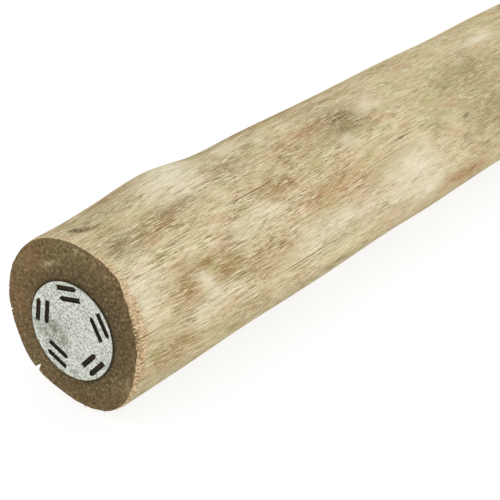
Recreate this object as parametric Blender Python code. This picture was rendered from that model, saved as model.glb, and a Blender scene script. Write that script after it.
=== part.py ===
"""A round timber farm post with a toothed anti-split plate pressed into each sawn end.

The post lies along Y on its flattest side: head end at -Y, butt end at +Y, floor at Z = 0.
Lengths are metres and angles are degrees. An angle round the trunk is counted from +X towards +Z.
"""

import math

import bmesh
import bpy
from mathutils import Matrix, Vector

# Trunk
POST_LENGTH = 1.8
TRUNK_RADIUS = 0.0905
TAPER = 0.004  # radius lost per metre towards the butt
REST_FLAT = 0.0008  # depth of the flattened strip that the post lies on
TRUNK_WAVES = ((1, 128, 0.0006), (2, 0, 0.0010), (3, 90, 0.0012))  # waves round, crest angle, height
RIPPLE_LENGTH = 0.25
RIPPLE_HEIGHT = 0.0006

# Sawn ends: base radius, then lobes as (angle, spread, height)
HEAD_RADIUS = 0.0764
HEAD_LOBES = ((52, 24, 0.0060), (112, 70, 0.0090), (-60, 38, 0.0140), (-127, 24, 0.0045))
BUTT_RADIUS = 0.0800
BUTT_LOBES = ((15, 50, 0.0055), (140, 60, 0.0060), (-100, 35, 0.0040))
END_BLEND_START = 0.020
END_BLEND_END = 0.130
RIM_EASE_LENGTH = 0.009
RIM_EASE = 0.0008
RIM_WORN_ANGLE = 15
RIM_WORN_SPREAD = 50
RIM_WORN = 0.0030

# Swellings over old knots: distance from the head, angle, half length, spread, height
SWELLINGS = (
    (0.165, 118, 0.048, 40, 0.0062),
    (0.960, -140, 0.075, 35, 0.0030),
    (1.370, 70, 0.080, 40, 0.0045),
    (1.580, -20, 0.060, 30, 0.0030),
)

# Checks in the rim: end, angle, depth, width at the mouth, length along the trunk
RIM_CHECKS = (
    ("head", -127, 0.009, 0.0055, 0.090),
    ("head", 171, 0.003, 0.0025, 0.030),
    ("head", 187, 0.003, 0.0025, 0.030),
    ("butt", 62, 0.014, 0.0040, 0.160),
)

# Anti-split plate
PLATE_RADIUS = 0.050
SHEET = 0.0012
TOOTH_PAIRS = 5
TOOTH_ROWS = ((0.0427, -0.0025, -1), (0.0318, -0.0055, 1))  # out, along, way round its slots point
PATTERN_OFFSET = (0.0013, 0.0007)  # middle of the teeth from the middle of the sheet
TOOTH_LENGTH = 0.0265
TOOTH_WIDTH = 0.0046
SLOT_WIDTH = 0.0052
TIP_LENGTH = 0.0030
TIP_WIDTH = 0.0010
BEND_RADIUS = 0.0008  # inside of the fold
GAP = 0.0003  # between touching pieces
HEAD_PLATE_OFFSET = (0.0004, -0.0076)  # across and up from the trunk's axis
HEAD_PLATE_TURN = 28
BUTT_PLATE_OFFSET = (-0.0030, 0.0020)
BUTT_PLATE_TURN = 58

# Mesh fineness
ROUND_STEPS = 48
STATIONS = 48
RIM_STEPS = 72
BEND_STEPS = 3

# Worked out from the sizes above
BEND_ARC = math.radians(90) * (BEND_RADIUS + SHEET / 2)
SHANK_LENGTH = TOOTH_LENGTH - BEND_ARC - TIP_LENGTH
TOOTH_DEPTH = BEND_RADIUS + SHANK_LENGTH + TIP_LENGTH


def bell(distance, width):
    return math.exp(-((distance / width) ** 2))


def turn_between(angle, other):
    return (angle - other + 180) % 360 - 180


def smooth_step(value, start, end):
    t = min(max((value - start) / (end - start), 0.0), 1.0)
    return t * t * (3 - 2 * t)


def outline(base, lobes, angle):
    """Radius of a sawn end at an angle."""
    return base + sum(height * bell(turn_between(angle, at), spread) for at, spread, height in lobes)


def rim_ease(angle, from_end):
    """How much the worn rim takes off the radius just behind a sawn end."""
    depth = RIM_EASE + RIM_WORN * bell(turn_between(angle, RIM_WORN_ANGLE), RIM_WORN_SPREAD)
    return depth * (1 - min(from_end / RIM_EASE_LENGTH, 1.0)) ** 2


def radius(angle, along):
    """Distance of the trunk's surface from its axis, at a distance along it from the head."""
    trunk = TRUNK_RADIUS - TAPER * along
    trunk += sum(h * math.cos(math.radians(n * (angle - at))) for n, at, h in TRUNK_WAVES)
    trunk += RIPPLE_HEIGHT * math.cos(math.radians(2 * angle) + math.tau * along / RIPPLE_LENGTH)
    for at, swell_angle, half_length, spread, height in SWELLINGS:
        trunk += height * bell(along - at, half_length) * bell(turn_between(angle, swell_angle), spread)
    result = trunk
    for base, lobes, from_end in (
        (HEAD_RADIUS, HEAD_LOBES, along),
        (BUTT_RADIUS, BUTT_LOBES, POST_LENGTH - along),
    ):
        end_radius = outline(base, lobes, angle) + rim_ease(angle, 0)
        share = 1 - smooth_step(from_end, END_BLEND_START, END_BLEND_END)
        result += (end_radius - trunk) * share - rim_ease(angle, from_end)
    return result


def around_axis(angle, along, distance):
    """A point at a distance from the axis, before the post is centred on the origin.

    The axis falls with the taper, so that the underside is level.
    """
    a = math.radians(angle)
    return Vector((distance * math.cos(a), along - POST_LENGTH / 2, distance * math.sin(a) - TAPER * along))


def trunk_points():
    """Rings of surface points, closer together towards both ends."""
    rings = []
    for i in range(STATIONS + 1):
        along = POST_LENGTH * (1 - math.cos(math.pi * i / STATIONS)) / 2
        angles = [(j + 0.5) * 360 / ROUND_STEPS for j in range(ROUND_STEPS)]
        rings.append([around_axis(angle, along, radius(angle, along)) for angle in angles])
    return rings


def centring_shift(rings):
    """Moves the post's box onto x = 0, and its underside, less the flattened strip, onto z = 0."""
    xs = [p.x for ring in rings for p in ring]
    zs = [p.z for ring in rings for p in ring]
    return Vector((-(min(xs) + max(xs)) / 2, 0, -min(zs) - REST_FLAT))


def material(name, colour, roughness, metallic):
    result = bpy.data.materials.new(name)
    result.use_nodes = True
    shader = result.node_tree.nodes["Principled BSDF"]
    shader.inputs["Base Color"].default_value = (*colour, 1)
    shader.inputs["Roughness"].default_value = roughness
    shader.inputs["Metallic"].default_value = metallic
    return result


def add_object(name, bm, surface=None):
    bmesh.ops.recalc_face_normals(bm, faces=bm.faces)
    mesh = bpy.data.meshes.new(name)
    bm.to_mesh(mesh)
    bm.free()
    if surface:
        mesh.materials.append(surface)
        mesh.shade_smooth()
        mesh.set_sharp_from_angle(angle=math.radians(30))
    obj = bpy.data.objects.new(name, mesh)
    bpy.context.scene.collection.objects.link(obj)
    return obj


def cut(obj, cutter):
    """Takes a cutter's shape out of an object, and keeps the cutter out of the part."""
    modifier = obj.modifiers.new(cutter.name, "BOOLEAN")
    modifier.operation = "DIFFERENCE"
    modifier.solver = "EXACT"
    modifier.object = cutter
    cutter.hide_render = True
    cutter.display_type = "WIRE"


def make_post(rings, surface):
    """The trunk as a closed skin of quads between its rings, with a flat cap on each sawn end."""
    bm = bmesh.new()
    loops = [[bm.verts.new(point) for point in ring] for ring in rings]
    for near, far in zip(loops, loops[1:]):
        for j in range(ROUND_STEPS):
            k = (j + 1) % ROUND_STEPS
            bm.faces.new((near[j], near[k], far[k], far[j]))
    bm.faces.new(loops[0])
    bm.faces.new(loops[-1])
    return add_object("post", bm, surface)


def make_rim_check(name, end, angle, depth, width, length, shift):
    """A wedge that opens at the rim of one end and runs out along the trunk."""
    outside = 0.004
    bm = bmesh.new()
    for from_end, bottom in ((-outside, -depth), (length, outside / 2)):
        along = from_end if end == "head" else POST_LENGTH - from_end
        surface = radius(angle, min(max(along, 0), POST_LENGTH))
        top = surface + outside
        half = width / 2 * (outside - bottom) / depth
        side = math.degrees(half / top)
        bm.verts.new(around_axis(angle, along, surface + bottom) + shift)
        bm.verts.new(around_axis(angle - side, along, top) + shift)
        bm.verts.new(around_axis(angle + side, along, top) + shift)
    bmesh.ops.convex_hull(bm, input=bm.verts)
    return add_object(name, bm)


def tooth_frames():
    """Each slot's own axes: x runs from its square end to its tip, y across it, z outward."""
    for pair in range(TOOTH_PAIRS):
        turn = Matrix.Rotation(math.tau * pair / TOOTH_PAIRS, 4, "Z")
        for out, along, points in TOOTH_ROWS:
            middle = Matrix.Translation((*PATTERN_OFFSET, 0)) @ turn @ Matrix.Translation((out, along, 0))
            yield middle @ Matrix.Rotation(math.radians(90 * points), 4, "Z")


def slot_outline(frame):
    """Square at the fold, where the tooth's root is a little narrower, and pointed at the tip."""
    half = TOOTH_LENGTH / 2
    side = SLOT_WIDTH / 2
    root = TOOTH_WIDTH / 2
    tip = TIP_WIDTH / 2
    corners = (
        (-half, -root),
        (-half, -side),
        (half - TIP_LENGTH, -side),
        (half, -tip),
        (half, tip),
        (half - TIP_LENGTH, side),
        (-half, side),
        (-half, root),
    )
    return [frame @ Vector((x, y, 0)) for x, y in corners]


def draw_out(bm, face, matrix):
    """Extrudes one face to where a matrix carries it, and gives the new end face."""
    end = bmesh.ops.extrude_discrete_faces(bm, faces=[face])["faces"][0]
    bmesh.ops.transform(bm, matrix=matrix, verts=end.verts)
    return end


def fold_tooth(bm, frame):
    """Folds the tooth out of the wall at the square end of its slot, down into the wood."""
    wall_centre = frame @ Vector((-TOOTH_LENGTH / 2, 0, SHEET / 2))
    end = min(bm.faces, key=lambda face: (face.calc_center_median() - wall_centre).length)
    hinge = frame @ Matrix.Translation((-TOOTH_LENGTH / 2, 0, -BEND_RADIUS))
    step = hinge @ Matrix.Rotation(math.radians(90 / BEND_STEPS), 4, "Y") @ hinge.inverted()
    for _ in range(BEND_STEPS):
        end = draw_out(bm, end, step)
    end = draw_out(bm, end, Matrix.Translation((0, 0, -SHANK_LENGTH)))
    end = draw_out(bm, end, Matrix.Translation((0, 0, -TIP_LENGTH)))
    narrow = TIP_WIDTH / TOOTH_WIDTH
    bmesh.ops.scale(bm, vec=(1, narrow, 1), space=frame.inverted(), verts=end.verts)


def plate_mesh():
    """A round sheet, its inner face at z = 0, with slots whose metal is folded down as teeth."""
    bm = bmesh.new()
    turns = [math.tau * i / RIM_STEPS for i in range(RIM_STEPS)]
    loops = [[(PLATE_RADIUS * math.cos(a), PLATE_RADIUS * math.sin(a), 0) for a in turns]]
    loops += [slot_outline(frame) for frame in tooth_frames()]
    edges = []
    for loop in loops:
        verts = [bm.verts.new(point) for point in loop]
        edges += [bm.edges.new((a, b)) for a, b in zip(verts, verts[1:] + verts[:1])]
    bmesh.ops.triangle_fill(bm, use_beauty=True, edges=edges, normal=(0, 0, 1))
    raised = bmesh.ops.extrude_face_region(bm, geom=list(bm.faces), use_keep_orig=True)["geom"]
    top = [item for item in raised if isinstance(item, bmesh.types.BMVert)]
    bmesh.ops.translate(bm, vec=(0, 0, SHEET), verts=top)
    for frame in tooth_frames():
        fold_tooth(bm, frame)
    return bm


def slit_mesh():
    """Where the teeth go into the wood, with a gap all round."""
    bm = bmesh.new()
    above = 0.002
    start = -TOOTH_LENGTH / 2 + GAP
    end = -TOOTH_LENGTH / 2 + BEND_RADIUS + SHEET + GAP
    size = (end - start, TOOTH_WIDTH + 2 * GAP, TOOTH_DEPTH + GAP + above)
    centre = ((start + end) / 2, 0, above - size[2] / 2)
    for frame in tooth_frames():
        box = frame @ Matrix.Translation(centre) @ Matrix.Diagonal((*size, 1))
        bmesh.ops.create_cube(bm, size=1, matrix=box)
    return bm


def place_on_end(obj, head, offset, plate_turn, shift):
    """Puts plate coordinates onto a sawn end: z outward from the post, y up, and a gap to the wood."""
    facing = 0 if head else 180
    along = -GAP if head else POST_LENGTH + GAP
    across, up = offset
    spot = around_axis(0, along, 0) + shift + Vector((across, 0, up))
    stand = Matrix.Rotation(math.radians(facing), 4, "Z") @ Matrix.Rotation(math.radians(90), 4, "X")
    obj.matrix_world = Matrix.Translation(spot) @ stand @ Matrix.Rotation(math.radians(plate_turn), 4, "Z")


def build():
    for obj in list(bpy.data.objects):
        bpy.data.objects.remove(obj, do_unlink=True)
    timber = material("timber", (0.56, 0.47, 0.30), 0.85, 0.0)
    steel = material("galvanised_steel", (0.62, 0.64, 0.62), 0.45, 1.0)

    rings = trunk_points()
    shift = centring_shift(rings)
    for ring in rings:
        for point in ring:
            point += shift
            point.z = max(point.z, 0.0)
    post = make_post(rings, timber)

    for i, check in enumerate(RIM_CHECKS):
        cut(post, make_rim_check(f"rim_check_cutter_{i + 1}", *check, shift))
    for name, head, offset, plate_turn in (
        ("head", True, HEAD_PLATE_OFFSET, HEAD_PLATE_TURN),
        ("butt", False, BUTT_PLATE_OFFSET, BUTT_PLATE_TURN),
    ):
        plate = add_object(f"{name}_plate", plate_mesh(), steel)
        slits = add_object(f"{name}_slit_cutter", slit_mesh())
        for obj in (plate, slits):
            place_on_end(obj, head, offset, plate_turn, shift)
        cut(post, slits)


build()
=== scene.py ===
"""Looks for the round timber post with an anti-split plate on each sawn end.

Lengths are metres and angles are degrees. An angle round the trunk is counted from +X towards +Z, and a
distance along it from the head end, which is at -Y.
"""

import itertools
import math

import bmesh
import bpy
import numpy as np
from mathutils import Matrix, Vector
from mathutils.geometry import delaunay_2d_cdt


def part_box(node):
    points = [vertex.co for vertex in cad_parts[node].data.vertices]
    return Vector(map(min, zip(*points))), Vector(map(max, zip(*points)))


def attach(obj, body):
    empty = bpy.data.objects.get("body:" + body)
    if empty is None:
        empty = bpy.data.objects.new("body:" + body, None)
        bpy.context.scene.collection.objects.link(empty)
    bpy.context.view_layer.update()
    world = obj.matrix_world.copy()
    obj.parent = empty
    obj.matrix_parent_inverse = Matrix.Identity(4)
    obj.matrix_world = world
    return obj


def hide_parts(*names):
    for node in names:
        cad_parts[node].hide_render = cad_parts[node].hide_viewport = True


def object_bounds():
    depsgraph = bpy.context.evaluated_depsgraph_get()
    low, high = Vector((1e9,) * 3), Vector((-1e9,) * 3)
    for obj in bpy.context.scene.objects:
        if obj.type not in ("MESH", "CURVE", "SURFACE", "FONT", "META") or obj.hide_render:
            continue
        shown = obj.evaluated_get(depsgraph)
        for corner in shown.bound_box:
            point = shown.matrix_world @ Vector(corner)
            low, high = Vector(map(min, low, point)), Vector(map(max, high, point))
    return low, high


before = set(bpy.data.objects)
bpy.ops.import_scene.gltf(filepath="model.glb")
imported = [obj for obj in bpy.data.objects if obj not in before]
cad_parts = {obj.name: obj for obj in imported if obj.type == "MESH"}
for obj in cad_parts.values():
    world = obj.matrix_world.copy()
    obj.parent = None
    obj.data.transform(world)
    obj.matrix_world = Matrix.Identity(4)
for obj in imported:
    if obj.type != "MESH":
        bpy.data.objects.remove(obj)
cad_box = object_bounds()

# Trunk, as in the CAD part
POST_LENGTH = 1.8
TRUNK_RADIUS = 0.0905
TAPER = 0.004
TRUNK_WAVES = ((1, 128, 0.0006), (2, 0, 0.0010), (3, 90, 0.0012))
RIPPLE_LENGTH = 0.25
RIPPLE_HEIGHT = 0.0006
HEAD_RADIUS = 0.0764
HEAD_LOBES = ((52, 24, 0.0060), (112, 70, 0.0090), (-60, 38, 0.0140), (-127, 24, 0.0045))
BUTT_RADIUS = 0.0800
BUTT_LOBES = ((15, 50, 0.0055), (140, 60, 0.0060), (-100, 35, 0.0040))
END_BLEND_START = 0.020
END_BLEND_END = 0.130
RIM_EASE_LENGTH = 0.009
RIM_EASE = 0.0008
RIM_WORN_ANGLE = 15
RIM_WORN_SPREAD = 50
RIM_WORN = 0.0030
SWELLINGS = (
    (0.165, 118, 0.048, 40, 0.0062),
    (0.960, -140, 0.075, 35, 0.0030),
    (1.370, 70, 0.080, 40, 0.0045),
    (1.580, -20, 0.060, 30, 0.0030),
)

# Plates, as in the CAD part
PLATE_RADIUS = 0.050
SHEET = 0.0012
TOOTH_PAIRS = 5
TOOTH_ROWS = ((0.0427, -0.0025, -1), (0.0318, -0.0055, 1))
PATTERN_OFFSET = (0.0013, 0.0007)
TOOTH_LENGTH = 0.0265
TOOTH_WIDTH = 0.0046
SLOT_WIDTH = 0.0052
TIP_LENGTH = 0.0030
TIP_WIDTH = 0.0010
BEND_RADIUS = 0.0008
GAP = 0.0003
HEAD_PLATE_OFFSET = (0.0004, -0.0076)
HEAD_PLATE_TURN = 28
BUTT_PLATE_OFFSET = (-0.0030, 0.0020)
BUTT_PLATE_TURN = 58
BEND_ARC = math.radians(90) * (BEND_RADIUS + SHEET / 2)
SHANK_LENGTH = TOOTH_LENGTH - BEND_ARC - TIP_LENGTH

# Checks in the trunk: angle, start, end, depth, width. One that starts before 0 or ends after the butt
# opens at that end's rim.
CHECKS = (
    (-127, -1.0, 0.090, 0.0090, 0.0055),
    (171, -1.0, 0.030, 0.0030, 0.0025),
    (187, -1.0, 0.030, 0.0030, 0.0025),
    (62, 1.640, 9.0, 0.0140, 0.0040),
    (6, -1.0, 0.066, 0.0040, 0.0016),
    (54, 0.164, 0.240, 0.0020, 0.0011),
    (54, 0.700, 1.050, 0.0040, 0.0016),
    (-3.5, 0.200, 0.285, 0.0018, 0.0011),
    (-3.5, 0.860, 0.990, 0.0024, 0.0012),
    (68, 0.085, 0.150, 0.0008, 0.0005),
    (36, 0.135, 0.156, 0.0008, 0.0007),
    (36, 0.446, 0.486, 0.0014, 0.0010),
    (36, 1.120, 1.330, 0.0030, 0.0014),
    (-26.5, 0.315, 0.360, 0.0016, 0.0016),
    (112, 0.560, 0.900, 0.0050, 0.0018),
    (148, 0.240, 0.760, 0.0060, 0.0024),
    (148, 1.150, 1.420, 0.0040, 0.0016),
    (-72, 0.420, 1.310, 0.0080, 0.0032),
    (216, 0.520, 0.830, 0.0040, 0.0016),
    (216, 1.340, 9.0, 0.0060, 0.0022),
    (-160, 0.960, 1.180, 0.0030, 0.0014),
    (96, 1.480, 1.700, 0.0030, 0.0014),
    (20, 1.520, 1.660, 0.0024, 0.0012),
)

# Fineness of the trunk's mesh, which is coarser past FINE_LENGTH
COLUMNS = 330
ROW_STEP_ENDS = 0.0008
ROW_STEP_GROWTH = 0.12
ROW_STEP_FINE = 0.0066
ROW_STEP_COARSE = 0.0160
FINE_LENGTH = 0.66
ROW_GAP = 0.004
CHECK_SPANS = (-1.0, -0.5, 0.0, 0.5, 1.0)
CHECK_CLEARANCE = 0.6
SHUT_CHECK_HALF = 0.00012
FACE_RINGS = 22
FACE_RING_INNER = 0.52
FACE_MIDDLE_SHARES = (0.38, 0.24, 0.10)
FACE_MIDDLE_DEPTH = 0.0004
WOOD_SHARP_ANGLE = 48

# Fineness of a plate's mesh
RIM_STEPS = 144
SHEET_POINT_STEP = 0.0022
SHEET_ROW_STEP = 0.866 * SHEET_POINT_STEP
SHEET_MARGIN = 0.0014
SLOT_MARGIN = 0.0012
TOOTH_BEND_STEPS = 8
PLATE_SHARP_ANGLE = 50
EDGE_ROUND = 0.00022

# Relief of the peeled wood: height, size across the grain, size along it
RELIEF_LAYERS = (
    (0.00050, 0.0300, 0.350),
    (0.00030, 0.0130, 0.060),
    (0.00022, 0.0050, 0.120),
    (0.00013, 0.0024, 0.050),
)
RELIEF_BASE = -0.0003
PIT_DEPTH = 0.0009
TORN_LENGTH = 0.010
TORN_HEIGHT = 0.00045
TORN_DROP = 0.0003

# Chips broken out of the rims: size, depth, and what is added to the noise that places them
CHIPS = ((0.0090, 0.0013, 0.1), (0.0026, 0.0010, 0.0))
CHIP_LEAST = 0.0001
CHIP_REACH_SIDE = 0.006
CHIP_REACH_FACE = 0.005
# Painted shade: the underside is darkened towards the floor
SIDE_SET_BACK = 0.0003

# Sawn ends: depths of saw marks, roughness, broad waves and open rays
SAW_LEAN = 24
SAW_SPACING = 0.0032
SAW_DEPTH = 0.00012
ROUGH_DEPTH = 0.00008
BROAD_DEPTH = 0.0001
RAY_DEPTH = 0.0012

# Whether an end is the head, and the seed of its noise
ENDS = ((True, 41), (False, 51))

# Wear and painted shade: how far frayed wood reaches from a rim, painted shade on the underside, painted
# shade round a plate
FRAYED_REACH = 0.0035
FRAYED_REACH_WORN = 0.0090
UNDERSIDE_SHADE_STRENGTH = 0.38
UNDERSIDE_SHADE_FADE = (48, 74)
PLATE_SHADE_FADE = (0.0495, 0.0545)

# Plates: size and depth of dents, then place, size and strength of dull patches
DENTS = ((0.022, 0.00011), (0.007, 0.00002))
DIRT_PATCHES = ((-0.025, 0.006, 0.014, 1.0), (-0.018, -0.007, 0.010, 0.8))

# Splinters on the head's rim: middle and spread of their angles, ranges of place, length and thickness,
# and of the shares by which each leans, lifts, points forward, bends and droops
SPLINTER_COUNT = 80
SPLINTER_ANGLES = (-30, 28)
SPLINTER_SIZES = ((0.0006, 0.0070), (0.0025, 0.0065), (0.00016, 0.00034))
SPLINTER_SHARES = ((-0.9, 0.9), (0.15, 0.65), (-0.4, 0.9), (-0.10, 0.10), (-0.10, 0.05))
SPLINTER_ROOT_DEPTH = 0.0012

WHITE = (1.0, 1.0, 1.0, 1.0)


# Numbers


def bell(distance, width):
    return np.exp(-((distance / width) ** 2))


def turn_between(angle, other):
    return (angle - other + 180) % 360 - 180


def smooth_step(value, start, end):
    t = np.clip((value - start) / (end - start), 0, 1)
    return t * t * (3 - 2 * t)


def at_least(least, share):
    """A share from 0 to 1, squeezed to start from the least."""
    return least + (1 - least) * share


def lattice_value(cells, seed):
    """A repeatable value from -1 to 1 for each whole-number place."""
    mixed = cells[..., 0] * 73856093 ^ cells[..., 1] * 19349663 ^ cells[..., 2] * 83492791 ^ seed * 15485863
    for shift, factor in ((16, 2246822519), (13, 3266489917)):
        mixed &= 0xFFFFFFFF
        mixed = (mixed ^ (mixed >> shift)) * factor
    mixed &= 0xFFFFFFFF
    return (mixed >> 8) / 0x7FFFFF - 1


def smooth_noise(points, seed):
    """Noise from -1 to 1 that changes smoothly over about one unit of length."""
    cells = np.floor(points).astype(np.int64)
    part = points - cells
    part = part * part * (3 - 2 * part)
    total = np.zeros(points.shape[:-1])
    for corner in itertools.product((0, 1), repeat=3):
        share = np.where(np.array(corner) == 1, part, 1 - part).prod(axis=-1)
        total += share * lattice_value(cells + np.array(corner), seed)
    return total


def grain_noise(grain, across, along, seed):
    """Noise on the trunk with features of these sizes across and along the grain."""
    return smooth_noise(grain / np.array((across, across, along)), seed)


# Trunk shape


def outline(base, lobes, angle):
    return base + sum(height * bell(turn_between(angle, at), spread) for at, spread, height in lobes)


def rim_ease(angle, from_end):
    depth = RIM_EASE + RIM_WORN * bell(turn_between(angle, RIM_WORN_ANGLE), RIM_WORN_SPREAD)
    return depth * (1 - np.clip(from_end / RIM_EASE_LENGTH, 0, 1)) ** 2


def radius(angle, along):
    """Distance of the trunk's surface from its axis, as in the CAD part."""
    trunk = TRUNK_RADIUS - TAPER * along
    trunk = trunk + sum(h * np.cos(np.radians(n * (angle - at))) for n, at, h in TRUNK_WAVES)
    trunk += RIPPLE_HEIGHT * np.cos(np.radians(2 * angle) + math.tau * along / RIPPLE_LENGTH)
    for at, swell_angle, half_length, spread, height in SWELLINGS:
        trunk += height * bell(along - at, half_length) * bell(turn_between(angle, swell_angle), spread)
    result = trunk
    for base, lobes, from_end in (
        (HEAD_RADIUS, HEAD_LOBES, along),
        (BUTT_RADIUS, BUTT_LOBES, POST_LENGTH - along),
    ):
        end_radius = outline(base, lobes, angle) + rim_ease(angle, 0)
        share = 1 - smooth_step(from_end, END_BLEND_START, END_BLEND_END)
        result = result + (end_radius - trunk) * share - rim_ease(angle, from_end)
    return result


def plate_centre(name):
    low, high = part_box(name)
    return Vector(((low.x + high.x) / 2, 0, (low.z + high.z) / 2))


HEAD_PLATE_CENTRE = plate_centre("head_plate")
AXIS_X = HEAD_PLATE_CENTRE.x - HEAD_PLATE_OFFSET[0]
AXIS_Z = HEAD_PLATE_CENTRE.z - HEAD_PLATE_OFFSET[1]


def places_from_end(fine_length):
    """Distances of rings of points from an end to past the trunk's middle, in steps that grow."""
    places = [0.0]
    while places[-1] < POST_LENGTH / 2:
        longest = ROW_STEP_FINE if places[-1] < fine_length else ROW_STEP_COARSE
        places.append(places[-1] + min(ROW_STEP_ENDS + ROW_STEP_GROWTH * places[-1], longest))
    return places


def row_places():
    """Distances along the trunk of its rings of points, closest at the ends."""
    from_head = places_from_end(FINE_LENGTH)[:-1]
    from_butt = places_from_end(0)
    room = POST_LENGTH - from_head[-1] - ROW_GAP
    return np.array(from_head + [POST_LENGTH - place for place in reversed(from_butt) if place < room])


def column_places():
    """Columns of points round the trunk: angle, the angle it spreads from, and its place across a check."""
    spacing = 360 / COLUMNS
    half_widths = {}
    for check_angle, _, _, _, width in CHECKS:
        half = math.degrees(width / 2 / TRUNK_RADIUS)
        half_widths[check_angle % 360] = max(half, half_widths.get(check_angle % 360, 0))
    columns = []
    for i in range(COLUMNS):
        angle = i * spacing
        gaps = [abs(turn_between(angle, a)) - half for a, half in half_widths.items()]
        if min(gaps) > CHECK_CLEARANCE * spacing:
            columns.append((angle, angle, None))
    for a, half in half_widths.items():
        columns += [(a + span * half, a, span) for span in CHECK_SPANS]
    columns.sort()
    return columns


def check_share(along, start, end):
    """How open a check is at a distance along the trunk, from 0 to 1."""
    if start < 0:
        return np.clip(1 - along / end, 0, 1)
    if end > POST_LENGTH:
        return np.clip((along - start) / (POST_LENGTH - start), 0, 1)
    t = np.clip((along - start) / (end - start), 0, 1)
    return (4 * t * (1 - t)) ** 0.6


def trunk_grid():
    """Angle, distance along, place in the grain, check depth and painted shade in the checks, of the side's
    points.
    """
    rows = row_places()
    columns = column_places()
    base = np.array([column[1] for column in columns], float)
    angle = np.tile(base, (len(rows), 1))
    along = np.repeat(rows[:, None], len(columns), axis=1)
    depth = np.zeros_like(angle)
    dark = np.zeros_like(angle)
    for j, (_, check_angle, span) in enumerate(columns):
        if span is None:
            continue
        half = np.full(len(rows), SHUT_CHECK_HALF)
        for at, start, end, deepest, width in CHECKS:
            if at % 360 != check_angle:
                continue
            share = check_share(rows, start, end)
            half = np.maximum(half, width / 2 * share)
            depth[:, j] += deepest * share * (1 - abs(span)) ** 0.8
            # Painted shade in the check, strongest at its middle
            dark[:, j] = np.maximum(dark[:, j], np.minimum(share * 3, 1) * (1 - 0.75 * abs(span)))
        angle[:, j] += span * np.degrees(half / TRUNK_RADIUS)
    turn = np.radians(angle)
    grain = np.stack((TRUNK_RADIUS * np.cos(turn), TRUNK_RADIUS * np.sin(turn), along), axis=-1)
    return angle, along, grain, depth, dark


def wander(along):
    """How far the grain has turned round the trunk, none of it close to the head."""
    turned = 1.3 * np.sin(along * 4.1 + 0.6) + 0.5 * np.sin(along * 13.0 + 2.0)
    return smooth_step(along, 0.05, 0.60) * turned


def relief(angle, along, grain):
    """Height of the peeled wood's surface over the smooth trunk."""
    height = np.full_like(along, RELIEF_BASE)
    for seed, (layer_height, across, length) in enumerate(RELIEF_LAYERS, start=1):
        height += layer_height * grain_noise(grain, across, length, seed)
    height -= PIT_DEPTH * np.clip(grain_noise(grain, 0.0035, 0.012, 5) - 0.45, 0, 1)
    rough = bell(along, TORN_LENGTH) * at_least(0.35, bell(turn_between(angle, 10), 55))
    rough += 0.4 * bell(POST_LENGTH - along, TORN_LENGTH)
    height += rough * (TORN_HEIGHT * grain_noise(grain, 0.0030, 0.009, 6) - TORN_DROP)
    return height


def chip_depth(angle, seed):
    """How far the rim of a sawn end is broken back along the trunk."""
    turn = np.radians(angle)
    ring = np.stack((np.cos(turn), np.sin(turn), np.zeros_like(turn)), axis=-1) * TRUNK_RADIUS
    chips = np.zeros_like(angle)
    for i, (size, depth, more) in enumerate(CHIPS):
        chips += depth * np.clip(smooth_noise(ring / size, seed + i) + more, 0, 1)
    return chips * at_least(0.25, bell(turn_between(angle, RIM_WORN_ANGLE), RIM_WORN_SPREAD)) + CHIP_LEAST


def face_height(x, z, seed):
    """How far a sawn end is cut back, from its saw marks, its roughness and its open rays."""
    spot = np.stack((x, z, np.zeros_like(x)), axis=-1)
    lean = math.radians(SAW_LEAN)
    across = (x * math.sin(lean) + z * math.cos(lean)) / SAW_SPACING
    saw = smooth_noise(np.stack((across, x / 0.15, z / 0.15), axis=-1), seed)
    rough = smooth_noise(spot / 0.0022, seed + 1)
    broad = smooth_noise(spot / 0.020, seed + 2)
    away = np.hypot(x, z) + 1e-6
    ray = np.stack((x / away * 26, z / away * 26, away / 0.030), axis=-1)
    open_ray = np.clip(smooth_noise(ray, seed + 3) - 0.55, 0, 1)
    waves = SAW_DEPTH * (saw + 1) + ROUGH_DEPTH * (rough + 1) + BROAD_DEPTH * (broad + 1)
    return waves + RAY_DEPTH * open_ray


def kept_in_box(points):
    """Moves any point that is outside the CAD model's box onto its nearest side."""
    low, high = (np.array(corner) for corner in cad_box)
    return np.clip(points, low, high)


def trunk_points(angle, along, distance):
    turn = np.radians(angle)
    x = AXIS_X + distance * np.cos(turn)
    z = AXIS_Z + distance * np.sin(turn) - TAPER * along
    return kept_in_box(np.stack((x, along - POST_LENGTH / 2, z), axis=-1))


# Marks on the trunk: along, angle, half length, half spread, strength
MARKS = {}
MARKS["brown"] = (
    (0.092, 66, 0.034, 8, 0.95),
    (0.252, 50, 0.032, 9, 1.0),
    (0.294, 72, 0.015, 8, 0.8),
    (0.343, 71, 0.024, 10, 0.6),
    (0.07, 21, 0.012, 11, 1.0),
    (0.1, 30, 0.042, 5, 0.95),
    (0.128, 21, 0.02, 7, 1.0),
    (0.175, 14, 0.034, 10, 0.65),
    (0.222, 13, 0.016, 8, 0.6),
    (0.05, -16, 0.028, 15, 0.75),
    (0.16, -17, 0.045, 10, 0.45),
    (0.59, -19, 0.06, 9, 1.0),
    (0.405, 94, 0.05, 4, 0.7),
    (0.218, 90, 0.008, 9, 0.55),
    (0.11, 114, 0.045, 12, 0.9),
    (0.32, 110, 0.11, 5, 0.8),
    (0.56, 100, 0.06, 9, 0.5),
    (0.02, 48, 0.016, 4, 0.3),
)
MARKS["red"] = (
    (0.325, 29, 0.06, 10, 0.9),
    (0.37, 12, 0.038, 11, 0.6),
    (0.245, 44, 0.022, 5, 0.45),
    (0.6, -24, 0.055, 8, 0.6),
    (0.195, 8, 0.04, 9, 0.45),
    (0.34, 74, 0.03, 8, 0.4),
    (0.44, 32, 0.03, 7, 0.4),
)
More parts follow.
